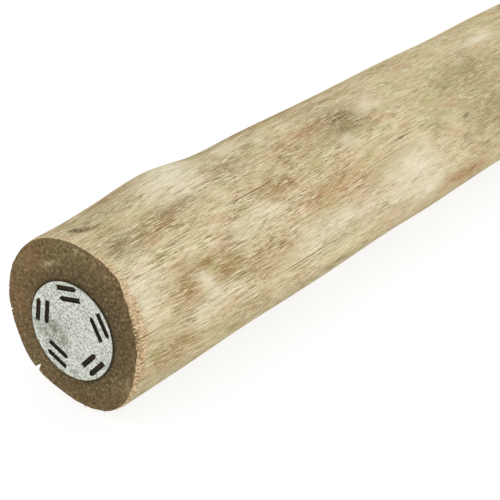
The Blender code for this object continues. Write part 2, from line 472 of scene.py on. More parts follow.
MARKS["grey"] = (
    (0.035, 67, 0.022, 10, 0.85),
    (0.398, 70, 0.037, 12, 1.0),
    (0.205, 75, 0.024, 10, 0.55),
    (0.12, 71, 0.03, 5, 0.5),
    (0.425, 60, 0.02, 4, 0.7),
    (0.06, 96, 0.04, 7, 0.45),
    (0.64, 60, 0.05, 14, 0.45),
    (0.33, 111, 0.23, 8, 0.45),
    (0.06, 116, 0.05, 10, 0.4),
)
MARKS["olive"] = (
    (0.59, 52, 0.05, 26, 0.4),
    (0.534, 31, 0.018, 7, 0.95),
    (0.137, -25, 0.014, 5, 0.6),
    (0.33, -28, 0.03, 5, 0.8),
    (0.645, 20, 0.05, 20, 0.75),
    (0.66, 48, 0.05, 18, 0.6),
    (0.25, -30, 0.09, 6, 0.5),
    (0.45, 92, 0.03, 8, 0.35),
    (0.24, 82, 0.035, 8, 0.4),
)
MARKS["dark"] = (
    (0.013, 97.5, 0.004, 2.2, 1.0),
    (0.018, 95.5, 0.0045, 2.2, 1.0),
    (0.024, 93.8, 0.005, 2.0, 0.95),
    (0.031, 92.0, 0.0055, 1.8, 0.85),
    (0.039, 90.0, 0.0055, 1.6, 0.7),
    (0.595, 28, 0.006, 2.0, 0.85),
    (0.582, 12, 0.006, 2.0, 0.4),
    (0.588, 8, 0.006, 2.0, 0.4),
    (0.016, -19, 0.004, 1.2, 0.6),
    (0.052, 58, 0.006, 2.0, 0.35),
    (0.392, 61, 0.012, 1.5, 0.45),
    (0.142, 36, 0.007, 2.2, 0.3),
    (0.455, 36, 0.01, 1.0, 0.4),
)
MARKS["pale"] = (
    (0.145, 90, 0.04, 19, 1.0),
    (0.17, 105, 0.022, 14, 0.8),
    (0.088, 25, 0.007, 4, 0.85),
    (0.096, 18, 0.009, 5, 1.0),
    (0.105, 10, 0.011, 5, 0.9),
    (0.024, 34, 0.02, 20, 0.75),
    (0.385, 55, 0.011, 5, 0.8),
    (0.325, 5, 0.085, 11, 0.75),
    (0.465, 8, 0.05, 18, 0.9),
    (0.455, 72, 0.022, 8, 0.55),
    (0.5, -10, 0.03, 10, 0.9),
    (0.19, 36, 0.05, 8, 0.55),
    (0.1, 2, 0.03, 7, 0.5),
    (0.25, 98, 0.03, 9, 0.45),
)

# Marks on the sawn ends: place across and up from the trunk's axis, size, strength
END_MARKS = {}
END_MARKS["red"] = (
    (-0.056, 0.056, 0.026, 0.85),
    (-0.072, 0.005, 0.03, 0.7),
    (-0.06, -0.03, 0.018, 0.35),
    (-0.03, 0.072, 0.016, 0.4),
)
END_MARKS["olive"] = (
    (-0.004, 0.078, 0.022, 0.75),
    (0.03, 0.072, 0.018, 0.4),
    (-0.05, -0.056, 0.018, 0.4),
    (-0.066, 0.046, 0.018, 0.45),
    (0.056, -0.052, 0.014, 0.3),
)
END_MARKS["pale"] = (
    (-0.029, 0.0525, 0.0036, 0.9),
    (-0.024, 0.055, 0.0034, 0.8),
    (-0.019, 0.0575, 0.0032, 0.65),
    (-0.013, 0.06, 0.003, 0.5),
    (-0.034, 0.049, 0.003, 0.55),
    (0.01, 0.078, 0.0035, 0.65),
    (0.019, 0.076, 0.003, 0.55),
    (0.031, 0.072, 0.0035, 0.45),
    (0.046, 0.062, 0.003, 0.4),
    (0.068, -0.046, 0.009, 0.35),
)

# Marks drawn at random, kept where the marks above leave off: each measure's range, then the kinds
RANDOM_MARKS = 120
RANDOM_RANGES = ((0.0, POST_LENGTH), (-180, 180), (0.012, 0.070), (4, 16), (0.35, 0.95))
RANDOM_KINDS = ("brown", "brown", "red", "grey", "grey", "olive", "pale", "pale", "pale")
MARKED_LENGTH = 0.68
MARKED_ANGLES = (-42, 122)


def add_random_marks(marks):
    """Marks of the same kinds on the parts of the trunk that have none yet."""
    random = np.random.default_rng(18)
    result = {kind: list(rows) for kind, rows in marks.items()}
    for _ in range(RANDOM_MARKS):
        mark = tuple(random.uniform(*span) for span in RANDOM_RANGES)
        kind = RANDOM_KINDS[random.integers(len(RANDOM_KINDS))]
        if mark[0] >= MARKED_LENGTH or not MARKED_ANGLES[0] < mark[1] < MARKED_ANGLES[1]:
            result[kind].append(mark)
    return result


def mark_field(rows, angle, along, grain):
    """How strongly one kind of mark shows at each point, with wandering edges."""
    shifted_along = along + 0.010 * grain_noise(grain, 0.014, 0.030, 31)
    shifted_angle = angle + 3.0 * grain_noise(grain, 0.012, 0.040, 32)
    total = np.zeros_like(angle)
    for at, mark_angle, half_length, spread, strength in rows:
        inside = bell(shifted_along - at, half_length)
        inside = inside * bell(turn_between(shifted_angle, mark_angle), spread)
        total = 1 - (1 - total) * (1 - strength * inside)
    return total


# Meshes


def skin_faces(row_count, column_count):
    """Quads of a tube, from its first ring at the head to its last at the butt."""
    i, j = np.meshgrid(np.arange(row_count - 1), np.arange(column_count), indexing="ij")
    k = (j + 1) % column_count
    near, far = i * column_count, (i + 1) * column_count
    return np.stack((near + j, far + j, far + k, near + k), axis=-1).reshape(-1, 4)


def face_shares():
    """Sizes of a sawn end's rings, as shares of its rim."""
    steps = np.arange(1, FACE_RINGS + 1) / FACE_RINGS
    rings = 1 - (1 - FACE_RING_INNER) * steps**1.25
    return np.concatenate((rings, FACE_MIDDLE_SHARES))


def sawn_face(angle, rim_distance, head, seed):
    """Rings of points from just inside the rim of a sawn end to its middle, and their places on it."""
    along_end = 0.0 if head else POST_LENGTH
    shares = face_shares()[:, None]
    distance = shares * rim_distance[None, :]
    turn = np.radians(angle)[None, :]
    x, z = distance * np.cos(turn), distance * np.sin(turn)
    near_rim = np.clip(1 - (1 - shares) * rim_distance / CHIP_REACH_FACE, 0, 1)
    back = face_height(x, z, seed + 10) + chip_depth(angle, seed)[None, :] * near_rim
    along = along_end + back if head else along_end - back
    points = trunk_points(np.broadcast_to(angle, distance.shape), along, distance)
    return points.reshape(-1, 3), np.stack((x, z, np.full_like(x, along_end)), axis=-1).reshape(-1, 3)


def face_faces(first_ring, start, column_count, head):
    """Quads between the rings of a sawn end and a fan at its middle, whose point comes after the rings."""
    rings = [first_ring] + [start + i * column_count for i in range(len(face_shares()))]
    middle = rings[-1] + column_count
    j = np.arange(column_count)
    k = (j + 1) % column_count
    bands = [np.stack((a + j, a + k, b + k, b + j), axis=-1) for a, b in zip(rings, rings[1:])]
    quads = np.concatenate(bands)
    fan = np.stack((rings[-1] + j, rings[-1] + k, np.full_like(j, middle)), axis=-1)
    if not head:
        quads, fan = quads[:, ::-1], fan[:, ::-1]
    return quads.tolist() + fan.tolist()


def add_object(name, mesh, *materials):
    for material in materials:
        mesh.materials.append(material)
    obj = bpy.data.objects.new(name, mesh)
    bpy.context.scene.collection.objects.link(obj)
    return obj


def store(mesh, name, values):
    """Keeps a number or a vector for each point of a mesh, for the material to read."""
    vector = values.ndim == 2
    attribute = mesh.attributes.new(name, "FLOAT_VECTOR" if vector else "FLOAT", "POINT")
    attribute.data.foreach_set("vector" if vector else "value", values.astype(np.float32).ravel())


def broken_back(angle, along):
    """Distances along the trunk of the side's points, once the rims are chipped."""
    moved = along.copy()
    for head, seed in ENDS:
        from_end = along if head else POST_LENGTH - along
        rim_angle = angle[0 if head else -1]
        near_rim = np.clip(1 - from_end / CHIP_REACH_SIDE, 0, 1)
        chip = (chip_depth(rim_angle, seed) + SIDE_SET_BACK)[None, :] * near_rim
        moved += chip if head else -chip
    return moved


def rim_discs(angle, distance):
    """Places on the sawn ends of the side's points: true for both rims and zero between them."""
    disc = np.zeros((*angle.shape, 3))
    for rim, end_along in ((0, 0.0), (-1, POST_LENGTH)):
        turn = np.radians(angle[rim])
        disc[rim, :, 0] = distance[rim] * np.cos(turn)
        disc[rim, :, 1] = distance[rim] * np.sin(turn)
        disc[rim, :, 2] = end_along
    return disc.reshape(-1, 3)


def with_sawn_ends(skin, angle, distance):
    """The side closed by both sawn ends: all points, their places on the ends, and all faces."""
    row_count, column_count = angle.shape
    points = [skin]
    discs = [rim_discs(angle, distance)]
    faces = skin_faces(row_count, column_count).tolist()
    start = len(skin)
    for head, seed in ENDS:
        rim = 0 if head else row_count - 1
        face_points, disc = sawn_face(angle[rim], distance[rim], head, seed)
        middle_along = FACE_MIDDLE_DEPTH if head else POST_LENGTH - FACE_MIDDLE_DEPTH
        middle = trunk_points(np.array([0.0]), np.array([middle_along]), np.array([0.0]))
        faces += face_faces(rim * column_count, start, column_count, head)
        points += [face_points, middle]
        discs += [disc, np.array([[0.0, 0.0, 0.0 if head else POST_LENGTH]])]
        start += len(face_points) + 1
    return np.concatenate(points), np.concatenate(discs), faces


def store_on_side(mesh, name, values):
    """Keeps values for the side's points, which come first, and zeros for those of the sawn ends."""
    item = values.shape[2:]
    every = np.zeros((len(mesh.vertices), *item))
    side = values.reshape(-1, *item)
    every[: len(side)] = side
    store(mesh, name, every)


def store_marks(mesh, angle, along, grain, disc):
    """Keeps each kind of stain, on the side and on the sawn ends."""
    for kind, rows in add_random_marks(MARKS).items():
        field = np.zeros(len(disc))
        for across, up, size, strength in END_MARKS.get(kind, ()):
            away = np.hypot(disc[:, 0] - across, disc[:, 1] - up)
            field = np.maximum(field, strength * bell(away, size))
        field[: angle.size] = mark_field(rows, turn_between(angle, 0), along, grain).ravel()
        store(mesh, kind, field)


def store_wear_and_underside_shade(mesh, angle, along, grain):
    """Keeps how frayed the side is close to the rims, and the painted shade on its underside."""
    at_head = (along < POST_LENGTH / 2).astype(float)
    worn = at_head * bell(turn_between(angle, 5), 46)
    reach = FRAYED_REACH + FRAYED_REACH_WORN * worn + 0.003 * grain_noise(grain, 0.006, 9.0, 61)
    from_rim = np.minimum(along, POST_LENGTH - along)
    store_on_side(mesh, "frayed", bell(from_rim, reach) * at_least(0.40, worn))
    # Painted shade on the underside, fading out towards the sides
    from_underside = np.abs(turn_between(angle, -90))
    store_on_side(mesh, "low", UNDERSIDE_SHADE_STRENGTH * (1 - smooth_step(from_underside, *UNDERSIDE_SHADE_FADE)))


def store_plate_shade(mesh, disc, side_count):
    """Keeps where each sawn end is darkened under and just round its plate: dirt and painted shade under
    it, painted shade in a thin ring round it.
    """
    plate_shade = np.zeros(len(disc))
    for end_along, (across, up) in ((0.0, HEAD_PLATE_OFFSET), (POST_LENGTH, BUTT_PLATE_OFFSET)):
        away = np.hypot(disc[:, 0] - across, disc[:, 1] - up)
        plate_shade = np.where(disc[:, 2] == end_along, 1 - smooth_step(away, *PLATE_SHADE_FADE), plate_shade)
    plate_shade[:side_count] = 0
    store(mesh, "plate_shade", plate_shade)


def make_post():
    """The trunk as one closed skin, with what its materials read stored on its points."""
    angle, along, grain, check_depth, check_shade = trunk_grid()
    true_angle = angle + wander(along)
    distance = radius(true_angle, along) + relief(true_angle, along, grain) - check_depth
    skin = trunk_points(true_angle, broken_back(true_angle, along), distance).reshape(-1, 3)
    points, disc, faces = with_sawn_ends(skin, true_angle, distance)

    mesh = bpy.data.meshes.new("post_timber")
    mesh.from_pydata(points.tolist(), [], faces)
    row_count, column_count = angle.shape
    slots = np.zeros(len(mesh.polygons), np.int32)
    slots[(row_count - 1) * column_count :] = 1
    mesh.polygons.foreach_set("material_index", slots)
    mesh.shade_smooth()
    mesh.set_sharp_from_angle(angle=math.radians(WOOD_SHARP_ANGLE))

    store_on_side(mesh, "grain", grain)
    store(mesh, "disc", disc)
    store_on_side(mesh, "check", check_shade)
    store_marks(mesh, angle, along, grain, disc)
    store_wear_and_underside_shade(mesh, angle, along, grain)
    store_plate_shade(mesh, disc, len(skin))
    return mesh


def finished_mesh(bm, name):
    mesh = bpy.data.meshes.new(name)
    bm.to_mesh(mesh)
    bm.free()
    mesh.shade_smooth()
    return mesh


def make_splinters():
    """Torn fibres that stand off the head's rim, each a closed sliver rooted in the wood."""
    random = np.random.default_rng(23)
    bm = bmesh.new()
    for _ in range(SPLINTER_COUNT):
        angle = random.normal(*SPLINTER_ANGLES)
        along, length, thick = (random.uniform(*span) for span in SPLINTER_SIZES)
        lean, lift, forward, bend, droop = (random.uniform(*span) for span in SPLINTER_SHARES)
        surface = radius(np.array(angle), np.array(along)) - SPLINTER_ROOT_DEPTH
        root = Vector(trunk_points(np.array(angle), np.array(along), surface))
        turn = math.radians(angle)
        out = Vector((math.cos(turn), 0, math.sin(turn)))
        round_way = Vector((-math.sin(turn), 0, math.cos(turn)))
        heading = (out * lift + round_way * lean + Vector((0, forward, 0))).normalized()
        side = heading.cross(Vector((0, 1, 0))).normalized() * thick
        other = heading.cross(side).normalized() * thick
        middle = root + heading * length * 0.6 + round_way * length * bend
        tip = root + heading * length + out * length * droop
        add_sliver(bm, root, middle, tip, side, other)
    bmesh.ops.recalc_face_normals(bm, faces=bm.faces)
    return finished_mesh(bm, "rim_splinters")


def add_sliver(bm, root, middle, tip, side, other):
    """A closed three-sided sliver that thins to a point."""
    corners = (side, -side / 2 + other * 0.87, -side / 2 - other * 0.87)
    low = [bm.verts.new(kept_in_box(root + corner)) for corner in corners]
    high = [bm.verts.new(kept_in_box(middle + corner * 0.7)) for corner in corners]
    point = bm.verts.new(kept_in_box(tip))
    bm.faces.new(low)
    for i in range(3):
        j = (i + 1) % 3
        bm.faces.new((low[i], low[j], high[j], high[i]))
        bm.faces.new((high[i], high[j], point))


def tooth_frames():
    """Each slot's own axes: x runs from its square end to its tip, y across it, z outward."""
    for pair in range(TOOTH_PAIRS):
        turn = Matrix.Rotation(math.tau * pair / TOOTH_PAIRS, 4, "Z")
        for out, along, points in TOOTH_ROWS:
            middle = Matrix.Translation((*PATTERN_OFFSET, 0)) @ turn @ Matrix.Translation((out, along, 0))
            yield middle @ Matrix.Rotation(math.radians(90 * points), 4, "Z")


def slot_outline(frame_matrix, grow):
    """A slot's outline in plate coordinates, made larger all round except at the tooth's root."""
    half = TOOTH_LENGTH / 2
    side = SLOT_WIDTH / 2 + grow
    root = TOOTH_WIDTH / 2
    tip = TIP_WIDTH / 2 + grow / 2
    corners = (
        (-half, -root),
        (-half - grow, -side),
        (half - TIP_LENGTH, -side),
        (half + grow, -tip),
        (half + grow, tip),
        (half - TIP_LENGTH, side),
        (-half - grow, side),
        (-half, root),
    )
    return [frame_matrix @ Vector((x, y, 0)) for x, y in corners]


def inside_slot(frame_inverse, point, margin):
    """Whether a point in plate coordinates is in a slot, or closer to it than a margin."""
    local = frame_inverse @ point
    return abs(local.x) < TOOTH_LENGTH / 2 + margin and abs(local.y) < SLOT_WIDTH / 2 + margin


def sheet_inner_points(frames, seed):
    """Scattered points between the slots, for the sheet's dents."""
    inverses = [m.inverted() for m in frames]
    random = np.random.default_rng(seed)
    result = []
    rows = int(PLATE_RADIUS * 2 / SHEET_ROW_STEP)
    for i in range(rows + 1):
        for j in range(rows + 1):
            x = -PLATE_RADIUS + (j + 0.5 * (i % 2)) * SHEET_POINT_STEP
            y = -PLATE_RADIUS + i * SHEET_ROW_STEP
            jitter = random.uniform(-0.18, 0.18, 2) * SHEET_POINT_STEP
            point = Vector((x + jitter[0], y + jitter[1], 0))
            in_sheet = point.length <= PLATE_RADIUS - SHEET_MARGIN
            if in_sheet and not any(inside_slot(inverse, point, SLOT_MARGIN) for inverse in inverses):
                result.append(point)
    return result


def dent(point, seed):
    """Depth of the hammer marks in a plate, never outward."""
    spot = np.array([[point.x, point.y, 0.0]])
    depth = 0
    for i, (size, deepest) in enumerate(DENTS):
        depth -= deepest * (smooth_noise(spot / size, seed + i)[0] + 1)
    return depth


def sheet_loops(frames, grow):
    """The sheet's rim, then each slot, as outlines with the metal's edge moved back by grow."""
    steps = [math.tau * i / RIM_STEPS for i in range(RIM_STEPS)]
    rim = [Vector((math.cos(a), math.sin(a), 0)) * (PLATE_RADIUS - grow) for a in steps]
    return [rim] + [slot_outline(m, grow) for m in frames]


def in_loop(point, loop):
    """Whether a point is inside a closed outline, from how often a line to one side of it crosses."""
    inside = False
    for first, second in zip(loop, loop[1:] + loop[:1]):
        if (first.y > point.y) != (second.y > point.y):
            crossing = first.x + (point.y - first.y) * (second.x - first.x) / (second.y - first.y)
            inside ^= point.x < crossing
    return inside


def sheet_triangles(loops, inner):
    """Triangles between the sheet's rim, its slots and its inner points, with none across a slot."""
    flat = [Vector((p.x, p.y)) for loop in (*loops, inner) for p in loop]
    edges = []
    first = 0
    for loop in loops:
        edges += [(first + i, first + (i + 1) % len(loop)) for i in range(len(loop))]
        first += len(loop)
    coords, _, triangles, origins, _, _ = delaunay_2d_cdt(flat, edges, [], 0, 1e-7)
    assert len(coords) == len(flat)
    kept = []
    for triangle in triangles:
        middle = sum((coords[i] for i in triangle), Vector((0, 0))) / len(triangle)
        if not any(in_loop(middle, loop) for loop in loops[1:]):
            kept.append([origins[i][0] for i in triangle])
    return kept


def plate_mesh(name, seed):
    """A round sheet, its inner face at z = 0, with slots whose metal is folded down as teeth."""
    frames = list(tooth_frames())
    inner = sheet_inner_points(frames, seed)
    upper_loops = sheet_loops(frames, EDGE_ROUND)
    upper = [p for loop in upper_loops for p in loop] + inner
    edge = [p for loop in sheet_loops(frames, 0) for p in loop]

    bm = bmesh.new()
    top = [bm.verts.new((p.x, p.y, SHEET + dent(p, seed))) for p in upper]
    bottom = [bm.verts.new((p.x, p.y, dent(p, seed))) for p in edge + inner]
    wall = [bm.verts.new((p.x, p.y, SHEET - EDGE_ROUND + dent(p, seed))) for p in edge]
    tooth_points = len(bm.verts)
    for a, b, c in sheet_triangles(upper_loops, inner):
        bm.faces.new((top[a], top[b], top[c]))
        bm.faces.new((bottom[c], bottom[b], bottom[a]))
    start = 0
    for loop, matrix in zip(upper_loops, [None] + frames):
        last = start + len(loop) - 1
        around = list(zip(range(start, last), range(start + 1, last + 1)))
        if matrix:
            section = [top[start], top[last], wall[last], bottom[last], bottom[start], wall[start]]
            fold_tooth(bm, matrix, section)
        else:
            around.append((last, start))
        for a, b in around:
            bm.faces.new((top[a], wall[a], wall[b], top[b]))
            bm.faces.new((wall[a], bottom[a], bottom[b], wall[b]))
        start = last + 1
    bmesh.ops.recalc_face_normals(bm, faces=bm.faces)
    mesh = finished_mesh(bm, name)
    mesh.set_sharp_from_angle(angle=math.radians(PLATE_SHARP_ANGLE))
    mesh["outer_points"] = len(upper)
    mesh["tooth_points"] = tooth_points
    return mesh


def fold_tooth(bm, matrix, section):
    """Carries the root's cross-section round the fold and down to the tooth's tip."""
    inverse = matrix.inverted()
    local = [inverse @ vert.co for vert in section]
    before = section
    for i in range(1, TOOTH_BEND_STEPS + 3):
        turn = math.radians(90) * min(i / TOOTH_BEND_STEPS, 1)
        down = 0 if i <= TOOTH_BEND_STEPS else SHANK_LENGTH
        width = 1.0
        if i == TOOTH_BEND_STEPS + 2:
            down += TIP_LENGTH
            width = TIP_WIDTH / TOOTH_WIDTH
        after = []
        for p in local:
            lever = p.z + BEND_RADIUS
            x = p.x + lever * math.sin(turn)
            z = -BEND_RADIUS + lever * math.cos(turn) - down
            after.append(bm.verts.new(matrix @ Vector((x, p.y * width, z))))
        for j in range(len(section)):
            k = (j + 1) % len(section)
            bm.faces.new((before[j], before[k], after[k], after[j]))
        before = after
    bm.faces.new(before)


def plate_matrix(head):
    """Carries plate coordinates onto a sawn end."""
    centre = plate_centre("head_plate" if head else "butt_plate")
    side = -1 if head else 1
    centre.y = side * (POST_LENGTH / 2 + GAP)
    facing = 0 if head else 180
    turn = HEAD_PLATE_TURN if head else BUTT_PLATE_TURN
    stand = Matrix.Rotation(math.radians(facing), 4, "Z") @ Matrix.Rotation(math.radians(90), 4, "X")
    return Matrix.Translation(centre) @ stand @ Matrix.Rotation(math.radians(turn), 4, "Z")


# Materials


def srgb(red, green, blue):
    """A colour given as it looks on a screen, from 0 to 255, in the linear light that shaders use."""
    parts = [c / 255 for c in (red, green, blue)]
    return (*[c / 12.92 if c <= 0.04045 else ((c + 0.055) / 1.055) ** 2.4 for c in parts], 1.0)


class Shader:
    """One material's nodes, with short calls that add a node and give its output."""

    def __init__(self, name):
        self.material = bpy.data.materials.new(name)
        self.material.use_nodes = True
        self.tree = self.material.node_tree
        self.surface = self.tree.nodes["Principled BSDF"]

    def add(self, kind, **settings):
        node = self.tree.nodes.new(kind)
        for key, value in settings.items():
            setattr(node, key, value)
        return node

    def put(self, socket, value):
        """Joins an output to a socket, or sets the socket to a number or a colour."""
        if isinstance(value, bpy.types.NodeSocket):
            self.tree.links.new(value, socket)
        else:
            socket.default_value = value

    def attribute(self, name, output="Fac"):
        return self.add("ShaderNodeAttribute", attribute_name=name).outputs[output]

    def maths(self, operation, first, second=0.0):
        node = self.add("ShaderNodeMath", operation=operation)
        self.put(node.inputs[0], first)
        self.put(node.inputs[1], second)
        return node.outputs[0]

    def vector(self, operation, first, second=(0, 0, 0), output=0):
        node = self.add("ShaderNodeVectorMath", operation=operation)
        self.put(node.inputs[0], first)
        self.put(node.inputs[1], second)
        return node.outputs[output]

    def remap(self, value, low, high, to_low=0.0, to_high=1.0):
        """A smooth step from one value to another between low and high."""
        node = self.add("ShaderNodeMapRange", interpolation_type="SMOOTHSTEP")
        for socket, number in zip(node.inputs, (value, low, high, to_low, to_high)):
            self.put(socket, number)
        return node.outputs[0]

    def noise(self, place, sizes, detail=3.0, roughness=0.5, shift=0.0):
        """Noise with features of these sizes in metres."""
        scaled = self.vector("DIVIDE", place, sizes)
        if shift:
            scaled = self.vector("ADD", scaled, (shift, shift, shift))
        node = self.add("ShaderNodeTexNoise")
        self.put(node.inputs["Vector"], scaled)
        node.inputs["Scale"].default_value = 1.0
        node.inputs["Detail"].default_value = detail
        node.inputs["Roughness"].default_value = roughness
        return node.outputs[0]

    def cells(self, place, size):
        """Patches of this size, each with a colour of its own."""
        scaled = self.vector("DIVIDE", place, (size, size, size))
        node = self.add("ShaderNodeTexVoronoi")
        self.put(node.inputs["Vector"], scaled)
        node.inputs["Scale"].default_value = 1.0
        return node.outputs["Color"]

    def red(self, colour):
        node = self.add("ShaderNodeSeparateColor")
        self.put(node.inputs[0], colour)
        return node.outputs[0]

    def mix(self, share, first, second):
        node = self.add("ShaderNodeMix", data_type="RGBA")
        self.put(node.inputs["Factor"], share)
        self.put(node.inputs[6], first)
        self.put(node.inputs[7], second)
        return node.outputs[2]

    def lay(self, colour, tone, value, low, high, most=1.0):
        """Lays a tone over a colour, from none of it where a value is at low to most of it at high."""
        return self.mix(self.remap(value, low, high, 0.0, most), colour, tone)

    def lay_up_to(self, colour, tone, amount, most):
        """Lays a tone over a colour by an amount, which counts no further than most."""
        return self.mix(self.maths("MINIMUM", amount, most), colour, tone)

    def bump(self, height, distance, under=None):
        node = self.add("ShaderNodeBump")
        node.inputs["Distance"].default_value = distance
        self.put(node.inputs["Height"], height)
        if under is not None:
            self.put(node.inputs["Normal"], under)
        return node.outputs[0]

    def finish(self, colour, roughness, normal, specular=0.5):
        self.put(self.surface.inputs["Base Color"], colour)
        self.put(self.surface.inputs["Roughness"], roughness)
        self.put(self.surface.inputs["Normal"], normal)
        self.surface.inputs["Specular IOR Level"].default_value = specular
        return self.material


CREAM = srgb(217, 202, 161)
PALE = srgb(223, 212, 176)
TAN = srgb(181, 162, 118)
DASH_DARK = srgb(122, 98, 58)
DASH_PALE = srgb(240, 230, 198)
STREAK = srgb(150, 131, 92)
STAINS = {
    "brown": srgb(150, 112, 60),
    "red": srgb(188, 146, 104),
    "grey": srgb(118, 97, 54),
    "olive": srgb(146, 132, 86),
    "pale": srgb(234, 225, 200),
}
STAIN_REACH = {"brown": 0.90, "red": 0.85, "grey": 0.88, "olive": 0.85, "pale": 0.95}
# Colour of the painted shade inside the checks
CHECK_SHADE = srgb(62, 46, 24)
GOUGE = srgb(68, 56, 6)
# Colour of the painted shade on the trunk's underside
UNDERSIDE_SHADE = srgb(140, 128, 98)
FRAYED = srgb(228, 203, 162)
FRAYED_DARK = srgb(150, 110, 68)
ROSY = srgb(206, 176, 140)
MOSSY = srgb(190, 181, 130)
END_BROWN = srgb(106, 90, 64)
END_DARK = srgb(70, 58, 38)
END_RED = srgb(144, 114, 78)
END_OLIVE = srgb(92, 79, 50)
END_MOSS = srgb(132, 120, 82)
END_PALE = srgb(190, 174, 132)
SLOT_SHADE = srgb(38, 35, 23)

# Noises that follow the grain: size across it, size along it, detail, roughness, shift
GRAIN_NOISES = {
    "broad": (0.034, 0.120, 3, 0.55, 0),
    "patch": (0.013, 0.034, 5, 0.66, 5),
    "mottle": (0.0065, 0.017, 5, 0.70, 13),
    "dash": (0.0013, 0.016, 4, 0.66, 3),
    "fleck": (0.0013, 0.0034, 3, 0.70, 7),
    "streak": (0.0014, 0.055, 3, 0.60, 0),
    "torn": (0.0020, 0.0040, 4, 0.72, 11),
    "hue": (0.016, 0.042, 4, 0.60, 17),
    "calm": (0.018, 0.060, 3, 0.60, 23),
}

# Tones laid over the wood: the noise each follows, the noise's values for none and most of it, most
GROUND_TONES = (
    (TAN, "broad", 0.40, 0.62, 0.55),
    (TAN, "patch", 0.51, 0.66, 0.62),
    (PALE, "patch", 0.49, 0.36, 0.70),
    (ROSY, "hue", 0.51, 0.64, 0.60),
    (MOSSY, "hue", 0.49, 0.36, 0.60),
)
GRAIN_LINES = (
    (DASH_DARK, "dash", 0.51, 0.64, 0.88),
    (DASH_PALE, "dash", 0.48, 0.37, 0.78),
    (DASH_DARK, "fleck", 0.53, 0.66, 0.36),
    (DASH_PALE, "fleck", 0.47, 0.34, 0.42),
    (STREAK, "streak", 0.52, 0.62, 0.62),
)


def with_stains(s, colour, mottle):
    """The wood's colour under its stains, whose edges are ragged."""
    ragged = s.remap(mottle, 0.38, 0.62, 0.62, 1.12)
    for kind, stain in STAINS.items():
        amount = s.maths("MULTIPLY", s.maths("MULTIPLY", s.attribute(kind), ragged), STAIN_REACH[kind])
        colour = s.lay_up_to(colour, stain, amount, 0.95)
    return colour


def line_strength(s, grain, calm):
    """How strongly grain lines show: more on stains, less in calm or pale places and far from the head."""
    stained = s.maths("MAXIMUM", s.attribute("brown"), s.attribute("grey"))
    busy = s.maths("ADD", s.remap(calm, 0.36, 0.64, 0.50, 1.10), s.maths("MULTIPLY", stained, 0.15))
    busy = s.maths("SUBTRACT", busy, s.maths("MULTIPLY", s.attribute("pale"), 0.50))
    from_head = s.vector("DOT_PRODUCT", grain, (0, 0, 1), output="Value")
    busy = s.maths("MULTIPLY", busy, s.remap(from_head, 0.28, 0.56, 1.0, 0.66))
    return s.maths("MAXIMUM", busy, 0.15)


def with_grain_lines(s, colour, grain, noises):
    """The wood's colour under its short dashes, its flecks and its long streaks."""
    busy = line_strength(s, grain, noises["calm"])
    for tone, noise, low, high, most in GRAIN_LINES:
        amount = s.maths("MULTIPLY", s.remap(noises[noise], low, high, 0.0, most), busy)
        colour = s.lay_up_to(colour, tone, amount, 0.9)
    return colour


def with_frayed_rim(s, colour, frayed, torn):
    """The wood's colour under the torn fibre close to the rims, which breaks up into the ends' brown."""
    fibre = s.lay(FRAYED, FRAYED_DARK, torn, 0.44, 0.60)
    colour = s.lay(colour, fibre, frayed, 0.10, 0.70, 0.82)
    broken_edge = s.maths("MULTIPLY", s.remap(frayed, 0.88, 0.99, 0.0, 0.80), s.remap(torn, 0.49, 0.55))
    return s.mix(broken_edge, colour, END_BROWN)


def timber_side():
    """Weathered, peeled wood: cream and tan, with fine grain lines, stains and checks darkened by painted
    shade.
    """
    s = Shader("timber_side")
    grain = s.attribute("grain", "Vector")
    noises = {}
    for name, (across, along, detail, roughness, shift) in GRAIN_NOISES.items():
        noises[name] = s.noise(grain, (across, across, along), detail, roughness, shift)
    mottle, torn = noises["mottle"], noises["torn"]
    frayed = s.attribute("frayed")

    colour = CREAM
    for tone, noise, low, high, most in GROUND_TONES:
        colour = s.lay(colour, tone, noises[noise], low, high, most)
    colour = with_stains(s, colour, mottle)
    colour = with_grain_lines(s, colour, grain, noises)
    gouge = s.maths("MULTIPLY", s.attribute("dark"), s.remap(noises["fleck"], 0.36, 0.52, 0.55, 1.05))
    colour = s.lay_up_to(colour, GOUGE, gouge, 0.95)
    colour = s.mix(s.attribute("low"), colour, UNDERSIDE_SHADE)
    colour = with_frayed_rim(s, colour, frayed, torn)
    # Painted shade inside the checks, darkest at their bottoms
    colour = s.lay(colour, CHECK_SHADE, s.attribute("check"), 0.2, 0.75)

    normal = s.bump(noises["streak"], 0.0006)
    normal = s.bump(noises["dash"], 0.0005, normal)
    normal = s.bump(mottle, 0.0005, normal)
    normal = s.bump(s.maths("MULTIPLY", torn, frayed), 0.0014, normal)
    roughness = s.remap(mottle, 0.3, 0.7, 0.78, 0.92)
    return s.finish(colour, roughness, normal, specular=0.08)


def splinter_material():
    """Fibres torn from the rim: pale straw, browner in places."""
    s = Shader("timber_fibre")
    spot = s.add("ShaderNodeTexCoord").outputs["Object"]
    tone = s.noise(spot, (0.004, 0.004, 0.004), detail=2)
    colour = s.lay(FRAYED, FRAYED_DARK, tone, 0.42, 0.58)
    return s.finish(colour, 0.85, s.bump(tone, 0.0002), specular=0.22)


